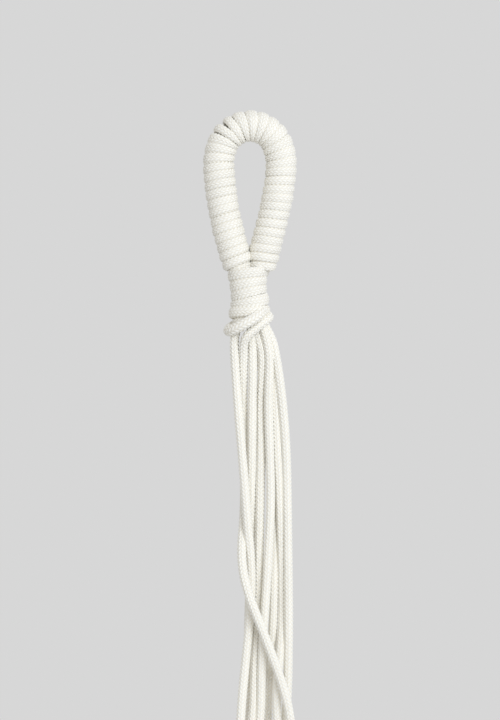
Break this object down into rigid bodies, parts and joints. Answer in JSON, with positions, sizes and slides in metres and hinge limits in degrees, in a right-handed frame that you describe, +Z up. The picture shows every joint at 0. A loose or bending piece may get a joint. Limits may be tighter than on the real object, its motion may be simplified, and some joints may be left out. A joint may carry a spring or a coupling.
{
  "type": "hanging plant holder",
  "caption": "Slim knotted cotton cord plant hanger: wrapped hanging loop, slack strands, knotted net cradle that opens round a pot, gathering wrap and tassel.",
  "frame": {"origin": "top of the loop's eye, where a ceiling hook carries the hanger", "axes": "+Z up, the loop lies in the XZ plane and its front faces -Y"},
  "size_m": [0.0498, 0.0452, 0.8534],
  "materials": {
    "cotton_cord": "natural cream cotton, braided cord, matt and slightly fluffy",
    "cotton_wrap": "the same cotton cord, wound tight",
    "cotton_knot": "the same cotton cord, drawn into knots",
    "packed_core": "the same cotton cord, squeezed inside the wraps"
  },
  "bodies": {
    "hanging_loop": {"core_cord_1": "packed_core", "core_cord_2": "packed_core", "core_cord_3": "packed_core", "core_cord_4": "packed_core", "loop_wrap": "cotton_wrap", "neck_core": "packed_core", "neck_wrap": "cotton_wrap", "hitch_turn": "cotton_wrap"},
    "front_arm": {"front_strand_a": "cotton_cord", "front_strand_b": "cotton_cord", "rim_knot_front": "cotton_knot"},
    "front_net_right": {"net_front_right": "cotton_cord"},
    "front_net_left": {"net_front_left": "cotton_cord"},
    "right_arm": {"right_strand_a": "cotton_cord", "right_strand_b": "cotton_cord", "rim_knot_right": "cotton_knot"},
    "right_net_right": {"net_right_right": "cotton_cord"},
    "right_net_left": {"net_right_left": "cotton_cord"},
    "back_arm": {"back_strand_a": "cotton_cord", "back_strand_b": "cotton_cord", "rim_knot_back": "cotton_knot"},
    "back_net_right": {"net_back_right": "cotton_cord"},
    "back_net_left": {"net_back_left": "cotton_cord"},
    "left_arm": {"left_strand_a": "cotton_cord", "left_strand_b": "cotton_cord", "rim_knot_left": "cotton_knot"},
    "left_net_right": {"net_left_right": "cotton_cord"},
    "left_net_left": {"net_left_left": "cotton_cord"},
    "front_right_base": {"base_knot_front_right": "cotton_knot", "base_front_right_a": "cotton_cord", "base_front_right_b": "cotton_cord"},
    "back_right_base": {"base_knot_back_right": "cotton_knot", "base_back_right_a": "cotton_cord", "base_back_right_b": "cotton_cord"},
    "back_left_base": {"base_knot_back_left": "cotton_knot", "base_back_left_a": "cotton_cord", "base_back_left_b": "cotton_cord"},
    "front_left_base": {"base_knot_front_left": "cotton_knot", "base_front_left_a": "cotton_cord", "base_front_left_b": "cotton_cord"},
    "gathering": {"gather_core": "packed_core", "gather_wrap": "cotton_wrap"},
    "tassel": {"tassel_strand_1": "cotton_cord", "tassel_strand_2": "cotton_cord", "tassel_strand_3": "cotton_cord", "tassel_strand_4": "cotton_cord", "tassel_strand_5": "cotton_cord", "tassel_strand_6": "cotton_cord", "tassel_strand_7": "cotton_cord", "tassel_strand_8": "cotton_cord"}
  },
  "joints": [
    {"name": "front_arm_opens", "type": "hinge", "parent": "hanging_loop", "child": "front_arm", "pos_m": [0, 0, -0.101], "axis": [-1, 0, 0], "range_deg": [0, 7.46]},
    {"name": "front_net_right_spreads", "type": "hinge", "parent": "front_arm", "child": "front_net_right", "pos_m": [0.0026, -0.0134, -0.4224], "axis": [0.709, -0.7043, -0.0372], "range_deg": [0, 26.01]},
    {"name": "front_net_left_spreads", "type": "hinge", "parent": "front_arm", "child": "front_net_left", "pos_m": [-0.0026, -0.0134, -0.4224], "axis": [0.709, 0.7043, 0.0372], "range_deg": [0, 26.01]},
    {"name": "right_arm_opens", "type": "hinge", "parent": "hanging_loop", "child": "right_arm", "pos_m": [0, 0, -0.101], "axis": [0, -1, 0], "range_deg": [0, 7.47]},
    {"name": "right_net_right_spreads", "type": "hinge", "parent": "right_arm", "child": "right_net_right", "pos_m": [0.0134, 0.0026, -0.4224], "axis": [0.7043, 0.709, -0.0372], "range_deg": [0, 26.01]},
    {"name": "right_net_left_spreads", "type": "hinge", "parent": "right_arm", "child": "right_net_left", "pos_m": [0.0134, -0.0026, -0.4224], "axis": [-0.7043, 0.709, 0.0372], "range_deg": [0, 26.01]},
    {"name": "back_arm_opens", "type": "hinge", "parent": "hanging_loop", "child": "back_arm", "pos_m": [0, 0, -0.101], "axis": [1, 0, 0], "range_deg": [0, 7.47]},
    {"name": "back_net_right_spreads", "type": "hinge", "parent": "back_arm", "child": "back_net_right", "pos_m": [-0.0026, 0.0134, -0.4224], "axis": [-0.709, 0.7043, -0.0372], "range_deg": [0, 26.01]},
    {"name": "back_net_left_spreads", "type": "hinge", "parent": "back_arm", "child": "back_net_left", "pos_m": [0.0026, 0.0134, -0.4224], "axis": [-0.709, -0.7043, 0.0372], "range_deg": [0, 26.01]},
    {"name": "left_arm_opens", "type": "hinge", "parent": "hanging_loop", "child": "left_arm", "pos_m": [0, 0, -0.101], "axis": [0, 1, 0], "range_deg": [0, 7.47]},
    {"name": "left_net_right_spreads", "type": "hinge", "parent": "left_arm", "child": "left_net_right", "pos_m": [-0.0134, -0.0026, -0.4224], "axis": [-0.7043, -0.709, -0.0372], "range_deg": [0, 26.01]},
    {"name": "left_net_left_spreads", "type": "hinge", "parent": "left_arm", "child": "left_net_left", "pos_m": [-0.0134, 0.0026, -0.4224], "axis": [0.7043, -0.709, 0.0372], "range_deg": [0, 26.01]},
    {"name": "front_right_base_opens", "type": "hinge", "parent": "front_net_right", "child": "front_right_base", "pos_m": [0.00743, -0.01153, -0.5065], "axis": [0.1393, 0.9824, -0.1247], "range_deg": [0, 34.37]},
    {"name": "back_right_base_opens", "type": "hinge", "parent": "right_net_right", "child": "back_right_base", "pos_m": [0.01153, 0.00743, -0.5065], "axis": [-0.9824, 0.1393, -0.1247], "range_deg": [0, 34.37]},
    {"name": "back_left_base_opens", "type": "hinge", "parent": "back_net_right", "child": "back_left_base", "pos_m": [-0.00743, 0.01153, -0.5065], "axis": [-0.1393, -0.9824, -0.1247], "range_deg": [0, 34.37]},
    {"name": "front_left_base_opens", "type": "hinge", "parent": "left_net_right", "child": "front_left_base", "pos_m": [-0.01153, -0.00743, -0.5065], "axis": [0.9824, -0.1393, -0.1247], "range_deg": [0, 34.37]},
    {"name": "gathering_stays_plumb", "type": "hinge", "parent": "front_right_base", "child": "gathering", "pos_m": [0.0046, -0.0046, -0.604], "axis": [-0.7071, -0.7071, 0], "range_deg": [0, 22.39]},
    {"name": "tassel_swings", "type": "hinge", "parent": "gathering", "child": "tassel", "pos_m": [0, 0, -0.644], "axis": [0, 1, 0], "range_deg": [-20, 20]}
  ],
  "couplings": [
    {"joint": "front_net_right_spreads", "follows": "front_arm_opens", "ratio": 3.4864},
    {"joint": "front_net_left_spreads", "follows": "front_arm_opens", "ratio": 3.4864},
    {"joint": "right_arm_opens", "follows": "front_arm_opens", "ratio": 1},
    {"joint": "right_net_right_spreads", "follows": "front_arm_opens", "ratio": 3.4864},
    {"joint": "right_net_left_spreads", "follows": "front_arm_opens", "ratio": 3.4864},
    {"joint": "back_arm_opens", "follows": "front_arm_opens", "ratio": 1},
    {"joint": "back_net_right_spreads", "follows": "front_arm_opens", "ratio": 3.4864},
    {"joint": "back_net_left_spreads", "follows": "front_arm_opens", "ratio": 3.4864},
    {"joint": "left_arm_opens", "follows": "front_arm_opens", "ratio": 1},
    {"joint": "left_net_right_spreads", "follows": "front_arm_opens", "ratio": 3.4864},
    {"joint": "left_net_left_spreads", "follows": "front_arm_opens", "ratio": 3.4864},
    {"joint": "front_right_base_opens", "follows": "front_arm_opens", "ratio": 4.6077},
    {"joint": "back_right_base_opens", "follows": "front_arm_opens", "ratio": 4.6077},
    {"joint": "back_left_base_opens", "follows": "front_arm_opens", "ratio": 4.6077},
    {"joint": "front_left_base_opens", "follows": "front_arm_opens", "ratio": 4.6077},
    {"joint": "gathering_stays_plumb", "follows": "front_arm_opens", "ratio": 3.0008}
  ]
}
